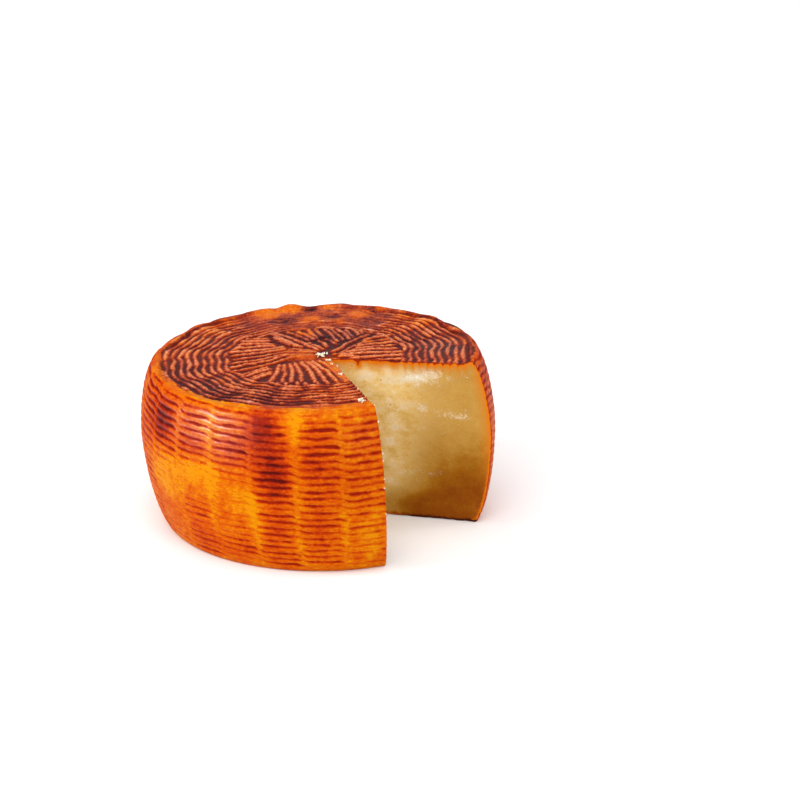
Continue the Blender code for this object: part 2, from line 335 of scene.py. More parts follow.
def settled(points):
    """Raises the top towards +X and +Y, leans it, and puts the outline's middle on the origin."""
    x, y, z = points.T
    z = z + z / WHEEL_HEIGHT * (TOP_RISE[0] * x + TOP_RISE[1] * y)
    return np.stack([x + lean(z) - OUTLINE_MIDDLE[0], y - OUTLINE_MIDDLE[1], z], axis=1)


def heading_of(points):
    """Each point's heading from the wheel's axis, in degrees."""
    return np.degrees(np.arctan2(points[:, 1], points[:, 0]))


def panels(angle):
    """How many staves lie between the first one and an angle in degrees."""
    return (np.asarray(angle) - FIRST_STAVE) % 360.0 / PANEL


def stave_swing(angle):
    """How far a reed has swung from the staves: 0 at each, then 1 and -1 halfway, by turns."""
    return np.sin(np.pi * panels(angle))


def side_spots(angle, height, spots, power=2):
    """What each soft spot of the side adds at an angle in degrees and a height."""
    for at, level, half_width, half_height, strength in spots:
        turn = (np.asarray(angle) - at + 180.0) % 360.0 - 180.0
        near = -((turn / half_width) ** power) - ((height - level) / half_height) ** power
        yield strength * np.exp(near)


def swell(points, outward):
    """How far the skin's slow lumps stand out, in millimetres."""
    x, y, z = points.T
    up = np.clip(outward[:, 2], 0, 1)
    radius = np.hypot(x, y)
    lift = np.zeros(len(points))
    for kx, ky, reach, height in KNOBS:
        near = np.exp(-((x - kx) ** 2 + (y - ky) ** 2) / reach**2)
        lift += height * near * ease(60, 80, z)
    stave = np.abs(stave_swing(heading_of(points)))
    shoulder = ease(78, 90, z) * ease(82, 90, radius)
    lift += 0.35 * (stave - 0.6) * shoulder
    lift += 0.25 * (stave - 0.6) * (1 - up) * ease(2, 12, z) * (1 - shoulder)
    return lift


def column_headings():
    """The columns' headings from the apex, closer together where the print is sharpest."""
    fine = np.linspace(CUT_BACK, CUT_FRONT + 360.0, 2000)
    density = 1 + 0.5 * ease(140, 175, fine)
    share = np.cumsum(density) - density[0]
    return np.radians(np.interp(np.linspace(0, share[-1], COLUMNS + 1), share, fine))


def rind_grid():
    """The rind's points, outward directions and headings, in columns round the cut's apex."""
    headings = column_headings()
    rays = np.stack([np.cos(headings), np.sin(headings)], axis=1)
    grid, outs = [], []
    for radius, height, out_radius, out_height in stations():
        start = apex(height)
        along = rays @ start
        reach = -along + np.sqrt(along**2 - start @ start + radius**2)
        plan = start + rays * reach[:, None]
        round_out = plan / np.linalg.norm(plan, axis=1)[:, None]
        grid.append(np.column_stack([plan, np.full(len(plan), height)]))
        outs.append(np.column_stack([round_out * out_radius, np.full(len(plan), out_height)]))

    def inner_rows(edge, count, out_height):
        start = np.append(apex(edge[0, 2]), edge[0, 2])
        shares = [k / (count + 1) for k in range(1, count + 1)]
        flat = np.tile([0.0, 0.0, out_height], (len(edge), 1))
        return [start + (edge - start) * share for share in shares], [flat] * count

    top_rows, top_outs = inner_rows(grid[0], INNER_ROWS, 1.0)
    foot_rows, foot_outs = inner_rows(grid[-1], FOOT_INNER_ROWS, -1.0)
    grid = np.array(top_rows + grid + foot_rows[::-1])
    outs = np.array(top_outs + outs + foot_outs[::-1])
    for column in (0, COLUMNS):
        across = cut_normal(headings[column])
        edge = outs[:, column]
        edge -= (edge @ across)[:, None] * across
        edge /= np.linalg.norm(edge, axis=1)[:, None]
    lumps = swell(grid.reshape(-1, 3), outs.reshape(-1, 3)).reshape(*grid.shape[:2], 1)
    return grid + outs * lumps, outs, headings


def cut_normal(heading):
    """The unit normal of the knife face at a heading, in the wheel's own frame."""
    rise = np.append(apex(WHEEL_HEIGHT) - apex(0.0), WHEEL_HEIGHT)
    normal = np.cross([math.cos(heading), math.sin(heading), 0.0], rise)
    return normal / np.linalg.norm(normal)


def line_distance(points, line):
    """Distance of each plane point from a line of short segments."""
    best = np.full(len(points), np.inf)
    for start, end in zip(line[:-1], line[1:]):
        span = end - start
        share = np.clip((points - start) @ span / max(span @ span, 1e-12), 0, 1)
        gap = points - start - share[:, None] * span
        best = np.minimum(best, (gap**2).sum(axis=1))
    return np.sqrt(best)


def inside(points, ring):
    """Which plane points lie inside a closed ring."""
    odd = np.zeros(len(points), bool)
    for (ax, ay), (bx, by) in zip(ring, np.roll(ring, -1, axis=0)):
        level = (ay > points[:, 1]) != (by > points[:, 1])
        cross = ax + (points[:, 1] - ay) * (bx - ax) / (by - ay if by != ay else 1.0)
        odd ^= level & (points[:, 0] < cross)
    return odd


def knife_face(edge, seam, heading, rng):
    """Fills one cut face: edge runs along the rind, seam up the line where the knife turned.

    Gives the new inner points, their depth under the rind, and triangles that count first
    the edge's points, then the seam's and the new ones.
    """
    axis = np.array([math.cos(heading), math.sin(heading), 0.0])
    flat = lambda points: np.column_stack([(points - seam[0]) @ axis, points[:, 2]])
    ring = np.vstack([flat(edge), flat(seam)])
    low, high = ring.min(axis=0), ring.max(axis=0)
    across = np.arange(low[0], high[0], PASTE_STEP)
    upward = np.arange(low[1], high[1], PASTE_STEP * 0.87)
    field = np.array([
        (x + PASTE_STEP / 2 * (k % 2), z) for k, z in enumerate(upward) for x in across])
    field += rng.uniform(-0.25, 0.25, field.shape) * PASTE_STEP
    field = field[line_distance(field, np.vstack([ring, ring[:1]])) > PASTE_STEP / 2]
    corners = [Vector(point) for point in np.vstack([ring, field])]
    border = [(k, (k + 1) % len(ring)) for k in range(len(ring))]
    _, _, faces, origins, _, _ = geometry.delaunay_2d_cdt(corners, border, [], 0, 1e-7, True)
    source = [given[0] for given in origins]
    triangles = np.array([[source[k] for k in face] for face in faces])
    triangles = triangles[inside(np.array(corners)[triangles].mean(axis=1), ring)]
    used = np.unique(triangles[triangles >= len(ring)])
    renumber = np.arange(len(corners))
    renumber[used] = len(ring) + np.arange(len(used))
    field = field[used - len(ring)]
    share = (field[:, 1] - seam[0, 2]) / (seam[-1, 2] - seam[0, 2])
    start = seam[0] + share[:, None] * (seam[-1] - seam[0])
    place = start + (field[:, 0] - flat(start)[:, 0])[:, None] * axis
    return place, line_distance(field, flat(edge)), renumber[triangles]


def dye_of(points, rng):
    """How much dye lies on each point of the side: 0 is worn thin, 1 is pooled dark. Its thinning
    on the glossy upper panels is partly painted sheen.
    """
    angle = heading_of(points)
    dye = sum(side_spots(angle, points[:, 2], SIDE_DYE_AND_SHEEN), np.full(len(points), BASE_DYE))
    by_panel = rng.uniform(-0.07, 0.07, STAVES)
    dye += by_panel[panels(angle).astype(int) % STAVES]
    dye -= 0.02 * (1 - ease(0.1, 0.34, np.abs(stave_swing(angle))))
    return np.clip(dye, 0.0, 1.0)


def amber_and_shade_of(points):
    """How far each point of the paste darkens: partly real amber towards the rind, and partly
    painted shade that darkens the cut towards the foot and towards its outer side.
    """
    z = points[:, 2]
    along = np.linalg.norm(points[:, :2] - apex(z), axis=1)
    # Painted shade: the paste grows darker low down and towards the outer side of the cut, beyond
    # the real amber near the rind.
    low = 1 - ease(20, 62, z)
    amber_and_shade = 0.45 * ease(25, 66, along) * (1 + 0.9 * low) + 0.45 * (1 - ease(7, 21, z))
    amber_and_shade = amber_and_shade + 0.2 * (1 - ease(10, 34, z)) * ease(18, 34, along)
    amber_and_shade = amber_and_shade + 0.08 * ease(62, 80, along)
    # The last term paints a contact shadow: a thin dark band along the foot of the cut.
    return np.clip(amber_and_shade, 0.0, 1.05) + 0.8 * (1 - ease(0.9, 1.8, z))


def pale_of(points):
    """Where the paste is whiter and drier, in patches along and up the cut."""
    z = points[:, 2]
    along = np.linalg.norm(points[:, :2] - apex(z), axis=1)
    pale = np.zeros(len(points))
    for at, level, half_width, half_height, strength in PALE_PATCHES:
        near = -((along - at) / half_width) ** 2 - ((z - level) / half_height) ** 2
        pale += strength * np.exp(near)
    return pale


def patches(points, spots):
    """A sum of soft round spots on the plan, each (x, y, reach, strength)."""
    total = np.zeros(len(points))
    for x, y, reach, strength in spots:
        total += strength * np.exp(-((points[:, 0] - x) ** 2 + (points[:, 1] - y) ** 2) / reach**2)
    return np.clip(total, 0.0, 1.0)


def flat_of(points, outward):
    """How much of the top's or foot's look each point has: 1 on them, 0 on the side."""
    angle = heading_of(points)
    edge = np.interp(angle, *np.transpose(RIM_EDGE)) + 1.6 * (np.abs(stave_swing(angle)) - 0.6)
    radius = np.hypot(points[:, 0], points[:, 1])
    level = ease(0.55, 0.92, np.abs(outward[:, 2]))
    return level * (1 - ease(edge - 3.0, edge + 3.0, radius))


def oil_of(points):
    """How wet with oil each point of the rind is."""
    z = points[:, 2]
    oil = sum(side_spots(heading_of(points), z, SIDE_OIL), np.full(len(points), BASE_OIL))
    up = ease(90, 92, z)
    return np.clip(oil * (1 - up) + 0.03 * up + patches(points, TOP_SHEEN), 0.0, 1.0)


def soot_of(points):
    """How far each point of the flat faces has blackened."""
    return np.clip(BASE_SOOT + patches(points, TOP_SOOT), 0.0, 1.0)


def relief_of(points, flat):
    """How strongly the basket printed: 1 where its reeds pressed, less where it stayed smooth."""
    x, y, z = points.T
    radius = np.hypot(x, y)
    angle = heading_of(points)
    missed = patches(points, SMOOTH_SPOTS)
    from_apex = points - np.column_stack([apex(z), z])
    beside_cut = np.abs(from_apex @ cut_normal(math.radians(CUT_FRONT)))
    missed += (1 - ease(2.5, 6.0, beside_cut)) * (1 - ease(44, 48, radius)) * (y < -3)
    back = ease(40, 66, angle) * (1 - ease(118, 140, angle))
    front = ease(-125, -105, angle) * (1 - ease(-60, -50, angle))
    missed += 0.5 * (back * ease(48, 53, radius)) + front * ease(78, 81, radius)
    return 1 - flat * np.clip(missed, 0, 1)


def tooth_depth(points, depth):
    """Depth under the rind, lessened where a groove of the top let the dye soak in further."""
    radius = np.hypot(points[:, 0], points[:, 1])
    groove = (0.5 - 0.5 * np.cos(2 * np.pi * (radius - RING_FIRST) / RING_PITCH)) ** 2
    near_top = ease(WHEEL_HEIGHT - 9, WHEEL_HEIGHT - 5, points[:, 2])
    in_rings = ease(RING_FIRST - 4, RING_FIRST, radius) * (1 - ease(86, 89, radius))
    soaked = 0.7 * groove * in_rings
    for at, half_width, strength in TOP_TEETH:
        soaked = soaked + strength * np.exp(-(((radius - at) / half_width) ** 4))
    foot = (1 - ease(3, 9, points[:, 2])) * (1 - ease(82, 88, radius))
    return depth * (1 - np.clip(soaked * near_top, 0.0, 0.9)) * (1 + 3 * foot + 0.5 * near_top)


def store(mesh, name, values, kind="FLOAT", domain="POINT"):
    """Keeps one value for each point or face of a mesh under a name."""
    field = "vector" if kind == "FLOAT_VECTOR" else "value"
    mesh.attributes.new(name, kind, domain).data.foreach_set(field, np.asarray(values).ravel())


def link(name, mesh):
    item = bpy.data.objects.new(name, mesh)
    bpy.context.scene.collection.objects.link(item)
    return item


def build_skin(grid, outs, headings):
    """The smooth wheel as one closed mesh, with what its finishes and print need to know."""
    rng = np.random.default_rng(7)
    rows, columns = grid.shape[:2]
    rind_count = rows * columns
    number = np.arange(rind_count).reshape(rows, columns)
    seam_z = np.linspace(FOOT_PRINT_DEPTH, WHEEL_HEIGHT - PRINT_DEPTH, SEAM_POINTS)
    seam = np.column_stack([apex(seam_z), seam_z])
    seam_number = rind_count + np.arange(SEAM_POINTS)

    quads = np.stack([number[:-1, :-1], number[1:, :-1], number[1:, 1:], number[:-1, 1:]], axis=-1)
    faces = [*map(tuple, quads.reshape(-1, 4))]
    for k in range(columns - 1):
        faces.append((seam_number[-1], number[0, k], number[0, k + 1]))
        faces.append((seam_number[0], number[-1, k + 1], number[-1, k]))
    cut = [0] * len(faces)

    points = [grid.reshape(-1, 3), seam]
    normals = [outs.reshape(-1, 3), np.zeros(seam.shape)]
    depth = [np.zeros(rind_count), np.minimum(seam_z - seam_z[0], seam_z[-1] - seam_z)]
    middle = (headings[0] + headings[-1]) / 2 + math.pi
    into_notch = np.array([math.cos(middle), math.sin(middle), 0.0])
    for which, column in ((1, 0), (2, columns - 1)):
        made, gap, triangles = knife_face(grid[:, column], seam, headings[column], rng)
        before = sum(map(len, points))
        lookup = np.concatenate([number[:, column], seam_number, before + np.arange(len(made))])
        across = cut_normal(headings[column])
        across = across * math.copysign(1.0, across @ into_notch)
        a, b, c = np.vstack([grid[:, column], seam, made])[triangles].transpose(1, 0, 2)
        flipped = np.cross(b - a, c - a) @ across < 0
        triangles[flipped] = triangles[flipped][:, ::-1]
        faces += [*map(tuple, lookup[triangles])]
        cut += [which] * len(triangles)
        points.append(made)
        normals.append(np.tile(across, (len(made), 1)))
        depth.append(tooth_depth(made, gap))

    points, normals = np.vstack(points), np.vstack(normals)
    flat = flat_of(points, normals)
    mesh = bpy.data.meshes.new("wheel_skin")
    mesh.from_pydata(points * MM, [], faces)
    store(mesh, "out", normals, "FLOAT_VECTOR")
    store(mesh, "cut", cut, "INT", "FACE")
    for name, values in (
            ("paste", np.arange(len(points)) >= rind_count + SEAM_POINTS),
            ("depth", np.concatenate(depth)), ("flat", flat), ("dye", dye_of(points, rng)),
            ("soot", soot_of(points)), ("orange", patches(points, TOP_ORANGE)),
            ("oil", oil_of(points)), ("amber_and_shade", amber_and_shade_of(points)), ("pale", pale_of(points)),
            ("relief", relief_of(points, flat))):
        store(mesh, name, values)
    return link("wheel_skin", mesh)


def notch_angle(angle):
    """Whether an angle in degrees is well inside the cut-out wedge."""
    return -64.0 < (angle + 180.0) % 360.0 - 180.0 < -20.0


def ripple(length, rng, size, spacing):
    """A slow random wave along a line, from its points' places along it."""
    knots = np.arange(length.min() - spacing, length.max() + 2 * spacing, spacing)
    return np.interp(length, knots, rng.normal(0.0, size, len(knots)))


def on_side(angle, climb):
    """Points on the swollen side at angles in degrees, climb millimetres up it from the belly."""
    _, heights, lengths = side_profile()
    from_top = np.interp(BELLY_HEIGHT, heights[::-1], lengths[::-1]) - climb
    radius, height, out_radius, out_height = on_profile(from_top, 0.5)
    turn = np.radians(angle)
    ray = np.stack([np.cos(turn), np.sin(turn)])
    place = np.stack([*radius * ray, height], axis=1)
    out = np.stack([*out_radius * ray, out_height], axis=1)
    return place + out * swell(place, out)[:, None]


def on_flat(plan, height):
    """Plan points laid on the swollen top or foot."""
    place = np.column_stack([plan, np.broadcast_to(height, len(plan))])
    up = np.tile([0.0, 0.0, 1.0 if place[0, 2] > BELLY_HEIGHT else -1.0], (len(plan), 1))
    return place + up * swell(place, up)[:, None]


def side_grooves(rng):
    """Slots that the reeds left in the side, pinched and shifted half a pitch at each stave."""
    share = np.linspace(-1, 1, 21)
    bend = np.sign(share) * ease(0.72, 1.0, np.abs(share))
    lines = []
    for panel in range(STAVES):
        middle = FIRST_STAVE + (panel + 0.5) * PANEL
        if notch_angle(middle):
            continue
        angle = middle + PANEL / 2 * share
        weave = HOOP_PITCH / 4 * (1 if panel % 2 == 0 else -1)
        tilt = rng.normal(0.0, 0.25)
        for row in range(-HOOPS_BELOW, HOOPS_ABOVE + 1):
            climb = row * HOOP_PITCH + HOOP_SPREAD * min(row, 0) ** 2 + weave + tilt * share
            climb = climb - HOOP_PITCH / 4 * bend + rng.normal(0.0, 0.12)
            climb = climb + ripple(share * 10, rng, 0.2, 5.0)
            pinch = rng.uniform(0.25, 0.6) + rng.uniform(-0.2, 0.2) * share
            pinch = 1 - (1 - pinch) * np.abs(share) ** 5
            depth = groove_depth(angle, BELLY_HEIGHT + climb) * pinch
            depth = depth * rng.uniform(0.7, 1.15) * (1 + ripple(share * 10, rng, 0.22, 3.5))
            width = np.full(len(share), rng.uniform(0.95, 1.15))
            lines.append((on_side(angle, climb), -depth, width))
    return lines


def groove_depth(angle, height):
    """How deep the side's slots are: deepest above, shallow where the side wore smooth."""
    depth = SLOT_DEPTH + SLOT_DEPTH_GAIN * ease(48, 76, height)
    for worn in side_spots(angle, height, SIDE_WEAR, 4):
        depth = depth * (1 - worn)
    return depth * (1 - ease(95.0, 97.4, height))


def stave_ridges(rng):
    """Low smooth upright ridges where the staves stood."""
    climb = np.linspace(-50.0, 34.0, 60)
    rise = np.linspace(0, 1, 60)
    lift = STAVE_LIFT * np.sqrt(rise * (1 - rise))
    lines = []
    for stave in range(STAVES):
        angle = FIRST_STAVE + stave * PANEL
        if not notch_angle(angle):
            place = on_side(angle + ripple(climb, rng, 0.25, 12.0), climb)
            lines.append((place, lift, np.full(60, STAVE_REACH)))
    return lines


def beads(length, rng, size, spacing):
    """A row of uneven beads along a line, as swellings about 1."""
    wander = ripple(length, rng, 0.9, 3 * spacing)
    return 1 + size * np.sin(2 * np.pi * length / spacing + rng.uniform(0, 6.3) + wander)


def ring_ridges(rng, height, lift, reach):
    """Rings of reeds round a flat face. Each weaves out in one panel and in at the next."""
    angle = FIRST_STAVE + np.arange(0.0, 360.0, 0.9)
    turn = np.radians(angle)
    swing = stave_swing(angle)
    lines = []
    front = ease(210, 240, angle % 360) * (1 - ease(300, 320, angle % 360))
    for ring in range(RINGS):
        weave = RING_PITCH / 4 * (1 + ripple(angle, rng, 0.25, PANEL)) * np.abs(swing) ** 0.6
        radius = RING_FIRST + ring * RING_PITCH - np.sign(swing) * weave
        radius = radius + ripple(angle, rng, 0.3, 5.0)
        plan = np.column_stack([radius * np.cos(turn), radius * np.sin(turn)])
        length = turn * radius.mean()
        by_panel = rng.uniform(0.65, 1.15, STAVES)[panels(angle).astype(int) % STAVES]
        strength = lift * (0.7 + 0.3 * np.abs(swing)) * by_panel * beads(length, rng, 0.07, 5.2)
        strength = strength * (1 + ripple(length, rng, 0.2, 5.0))
        if ring == RINGS - 1:
            strength = strength * 0.7 * (1 - front)
        if height < BELLY_HEIGHT:
            strength = strength * sink(radius, 1.0)
        width = reach * (0.85 + 0.2 * np.abs(swing)) * (1 + ripple(length, rng, 0.12, 4.0))
        level = height + (PRINT_DEPTH - sink(radius, PRINT_DEPTH)) * (height > BELLY_HEIGHT)
        lines.append((on_flat(plan, level), strength, width))
    return lines


def rosette_ridges(rng, height, lift, reach):
    """Bundles and fans of reeds that cross on the middle of a flat face."""
    lines = []
    for *ends, count, bow in SWEEPS:
        first, last = np.reshape(ends, (2, 2, 2))
        for k in range(count):
            share = k / max(1, count - 1)
            start, end = first * (1 - share) + last * share + rng.normal(0.0, 0.6, (2, 2))
            span = end - start
            length = math.hypot(*span)
            side = np.array([-span[1], span[0]]) / length
            t = np.linspace(0, 1, max(6, round(length)))
            swing = bow * np.sin(np.pi * t) + ripple(t * length, rng, 0.4, 5.0)
            plan = start + t[:, None] * span + swing[:, None] * side
            taper = np.minimum(1, np.minimum(t, 1 - t) * length / 2.4 + 0.3)
            knots = beads(t * length, rng, 0.09, 4.8)
            strength = lift * taper * knots * rng.uniform(0.75, 1.1)
            width = reach * rng.uniform(0.9, 1.1) * (0.6 + 0.4 * knots)
            lines.append((on_flat(plan, height), strength, width))
    return lines


def draw_lines(name, lines):
    """Every reed's line in one object, with how far it lifts the skin and how wide it is."""
    places, lifts, reaches = zip(*lines)
    edges, start = [], 0
    for place in places:
        edges += [(start + k, start + k + 1) for k in range(len(place) - 1)]
        start += len(place)
    mesh = bpy.data.meshes.new(name)
    mesh.from_pydata(np.vstack(places) * MM, edges, [])
    store(mesh, "lift", np.concatenate(lifts) * MM)
    store(mesh, "reach", np.concatenate(reaches) * MM)
    return link(name, mesh)


def fill(tree, node, inputs):
    """Sets or links a node's inputs, given in order or by name."""
    for socket, value in inputs.items() if isinstance(inputs, dict) else enumerate(inputs):
        if isinstance(value, bpy.types.NodeSocket):
            tree.links.new(value, node.inputs[socket])
        else:
            node.inputs[socket].default_value = value


def add(tree, kind, inputs=(), out=0, **settings):
    """Adds a node, of the shader family where its kind names none, and gives an output."""
    node = tree.nodes.new(kind if "Node" in kind else "ShaderNode" + kind)
    for name, value in settings.items():
        setattr(node, name, value)
    fill(tree, node, inputs)
    return node.outputs[out]


def weighted(tree, total, *parts):
    """A value with shares of others added in turn, each (value, weight)."""
    for value, weight in parts:
        total = add(tree, "Math", (value, weight, total), operation="MULTIPLY_ADD")
    return total


def product(tree, total, *factors):
    """A value multiplied by others in turn."""
    for factor in factors:
        total = add(tree, "Math", (total, factor), operation="MULTIPLY")
    return total


def new_shape_tree(name, *sockets):
    """A Geometry Nodes tree with inputs, each a name, a kind and perhaps a first value."""
    tree = bpy.data.node_groups.new(name, "GeometryNodeTree")
    tree.interface.new_socket("Geometry", in_out="OUTPUT", socket_type="NodeSocketGeometry")
    for label, kind, *first in sockets:
        made = tree.interface.new_socket(label, in_out="INPUT", socket_type="NodeSocket" + kind)
        if first:
            made.default_value = first[0]
    return tree, tree.nodes.new("NodeGroupInput").outputs, tree.nodes.new("NodeGroupOutput").inputs


def run_tree(item, tree, name, values):
    """Runs a tree on an object with values for its inputs, and gives a plain mesh object."""
    modifier = item.modifiers.new("shape", "NODES")
    modifier.node_group = tree
    for socket in tree.interface.items_tree:
        if socket.in_out == "INPUT" and socket.name in values:
            modifier[socket.identifier] = values[socket.name]
    depsgraph = bpy.context.evaluated_depsgraph_get()
    mesh = bpy.data.meshes.new_from_object(
        item.evaluated_get(depsgraph), preserve_all_data_layers=True, depsgraph=depsgraph)
    item.modifiers.remove(modifier)
    bpy.data.objects.remove(item)
    return link(name, mesh)


def print_tree():
    """Presses reed lines into a skin, then gives the rind its pores and the paste its grain."""
    tree, given, out = new_shape_tree(
        "basket_print", ("Skin", "Geometry"), ("Reed Lines", "Object"),
        ("Wear Size", "Float", 0.0019), ("Pore Size", "Float", 0.002),
        ("Pore Depth", "Float", 0.00025), ("Grain Size", "Float", 0.0025),
        ("Grain Depth", "Float", 0.0005), ("Rind", "Material"), ("Paste", "Material"))
    known = {
        name: add(tree, "GeometryNodeInputNamedAttribute", (name,), data_type=kind)
        for kind, names in (
            ("FLOAT", "lift reach relief print paste"), ("FLOAT_VECTOR", "out"), ("INT", "cut"))
        for name in names.split()
    }
    lines = add(tree, "GeometryNodeObjectInfo", (given["Reed Lines"],), out="Geometry")
    nearest = add(tree, "GeometryNodeProximity", (lines,), target_element="EDGES")
    gap = nearest.node.outputs["Distance"]
    index = add(tree, "GeometryNodeSampleNearest", (lines, nearest))
    lift, reach = (
        add(tree, "GeometryNodeSampleIndex", (lines, known[name], index))
        for name in ("lift", "reach"))
    ratio = add(tree, "Math", (gap, reach), operation="DIVIDE")
    fade = add(tree, "Math", (ratio, 2.0), operation="POWER")
    fade = add(tree, "Math", (math.e, product(tree, fade, -1.0)), operation="POWER")
    rind = weighted(tree, 1.0, (known["paste"], -1.0))
    wear_scale = add(tree, "Math", (1.0, given["Wear Size"]), operation="DIVIDE")
    wear = add(tree, "TexNoise", {"Scale": wear_scale, "Detail": 2.0})
    wear = add(tree, "MapRange", (wear, 0.32, 0.68, 0.78, 1.18))
    pressed = product(tree, lift, fade, rind, known["relief"], wear)
    skin = add(tree, "GeometryNodeStoreNamedAttribute", {
        "Geometry": given["Skin"], "Name": "print", "Value": pressed})

    offset = known["print"]
    for part, where in (("Pore", rind), ("Grain", known["paste"])):
        scale = add(tree, "Math", (1.0, given[part + " Size"]), operation="DIVIDE")
        noise = add(tree, "TexNoise", {"Scale": scale, "Detail": 3.0, "Roughness": 0.6})
        swing = weighted(tree, noise, (-0.5, 1.0))
        swing = product(tree, swing, given[part + " Depth"], where)
        offset = weighted(tree, offset, (swing, 1.0))
    move = add(tree, "VectorMath", {0: known["out"], "Scale": offset}, operation="SCALE")
    skin = add(tree, "GeometryNodeSetPosition", {"Geometry": skin, "Offset": move})
    skin = add(tree, "GeometryNodeSetMaterial", {"Geometry": skin, "Material": given["Rind"]})
    skin = add(tree, "GeometryNodeSetMaterial", {
        "Geometry": skin, "Selection": known["cut"], "Material": given["Paste"]})
    tree.links.new(skin, out[0])
    return tree


def crumb_tree():
    """Strews crumbs of paste: a rough pebble on each point, as large as the point says."""
    tree, given, out = new_shape_tree(
        "crumbs", ("Places", "Geometry"), ("Roughness", "Float", 1.3), ("Seed", "Int", 5),
        ("Paste", "Material"))
    pebble = add(tree, "GeometryNodeMeshIcoSphere", {"Radius": 1.0, "Subdivisions": 2}, out="Mesh")
    turn, squash = (
        add(tree, "FunctionNodeRandomValue", {"Min": low, "Max": high, "Seed": given["Seed"]},
            data_type="FLOAT_VECTOR")
        for low, high in (
            ((0.0, 0.0, 0.0), (6.28, 6.28, 6.28)), ((0.6, 0.6, 0.5), (1.25, 1.0, 0.9))))
    size = add(tree, "GeometryNodeInputNamedAttribute", ("size",), data_type="FLOAT")
    scale = add(tree, "VectorMath", {0: squash, "Scale": size}, operation="SCALE")
    crumbs = add(tree, "GeometryNodeInstanceOnPoints", {
        "Points": given["Places"], "Instance": pebble, "Rotation": turn, "Scale": scale})
    crumbs = add(tree, "GeometryNodeRealizeInstances", (crumbs,))
    noise = add(tree, "TexNoise", {"Scale": per_metre(0.8), "Detail": 3.0}, out="Color")
    swing = add(tree, "VectorMath", (noise, (-0.5, -0.5, -0.5)), operation="ADD")
    push = product(tree, given["Roughness"], MM)
    swing = add(tree, "VectorMath", {0: swing, "Scale": push}, operation="SCALE")
    crumbs = add(tree, "GeometryNodeSetPosition", {"Geometry": crumbs, "Offset": swing})
    crumbs = add(tree, "GeometryNodeSetMaterial", {"Geometry": crumbs, "Material": given["Paste"]})
    tree.links.new(crumbs, out[0])
    return tree


def crumb_places(grid, rng):
    """Where crumbs fell: heaps near the apex, and along the front cut's edge down to the foot."""
    places, sizes = [], []
    for x, y, spread, count, size in CRUMB_HEAPS:
        plan = rng.normal((x, y), spread, (count, 2))
        places.append(on_flat(plan, WHEEL_HEIGHT - PRINT_DEPTH + 0.9))
        sizes.append(rng.uniform(0.35, 1.0, count) * size)
    edge = grid[:, -1]
    chosen = edge[rng.integers(INNER_ROWS, len(edge) - 60, EDGE_CRUMBS)]
    places.append(chosen + rng.normal(0.0, 0.15, chosen.shape))
    sizes.append(rng.uniform(0.25, 0.5, EDGE_CRUMBS))
    mesh = bpy.data.meshes.new("crumb_places")
    mesh.from_pydata(np.vstack(places) * MM, [], [])
    store(mesh, "size", np.concatenate(sizes) * MM)
    return link("crumb_places", mesh)


def finish_mesh(mesh):
    """Settles a mesh with the wheel on its foot, smooth but for the knife's crisp edges."""
    places = np.empty(len(mesh.vertices) * 3, np.float32)
    mesh.vertices.foreach_get("co", places)
    places = settled(places.reshape(-1, 3) / MM)
    places[:, 2] = np.maximum(places[:, 2], 0.0)
    mesh.vertices.foreach_set("co", (places * MM).ravel())
    form = bmesh.new()
    form.from_mesh(mesh)
    cut = form.faces.layers.int.get("cut")
    for face in form.faces:
        face.smooth = True
    if cut:
        for edge in form.edges:
            edge.smooth = len({face[cut] for face in edge.link_faces}) == 1
    form.to_mesh(mesh)
    form.free()


def per_metre(millimetres):
    """The scale of a noise whose grains are this wide."""
    return 1.0 / (millimetres * MM)


def noises(tree, place, *grains):
    """A noise for each grain: its width in millimetres, its detail and its roughness."""
    return [
        add(tree, "TexNoise", {
            "Vector": place, "Scale": per_metre(width), "Detail": detail, "Roughness": rough})
        for width, detail, rough in grains
    ]


def laid_over(tree, value, under, *coats):
    """Colours laid over one another as a value rises. Each coat is (start, full, colour)."""
    colour = under
    for start, full, code in coats:
        share = add(tree, "MapRange", (value, start, full), interpolation_type="SMOOTHSTEP")
        colour = blended(tree, share, colour, rgb(code))
    return colour


def blended(tree, share, under, over):
    """One colour over another, by a share from 0 to 1."""
    return add(tree, "Mix", {0: share, 6: under, 7: over}, out=2, data_type="RGBA")


def attributes(tree, *names):
    """The values that the mesh keeps under these names."""
    return [add(tree, "Attribute", out="Fac", attribute_name=name) for name in names]


def new_material(name):
    material = bpy.data.materials.new(name)
    material.use_nodes = True
    tree = material.node_tree
    place = add(tree, "TexCoord", out="Object")
    return material, tree, tree.nodes["Principled BSDF"], place


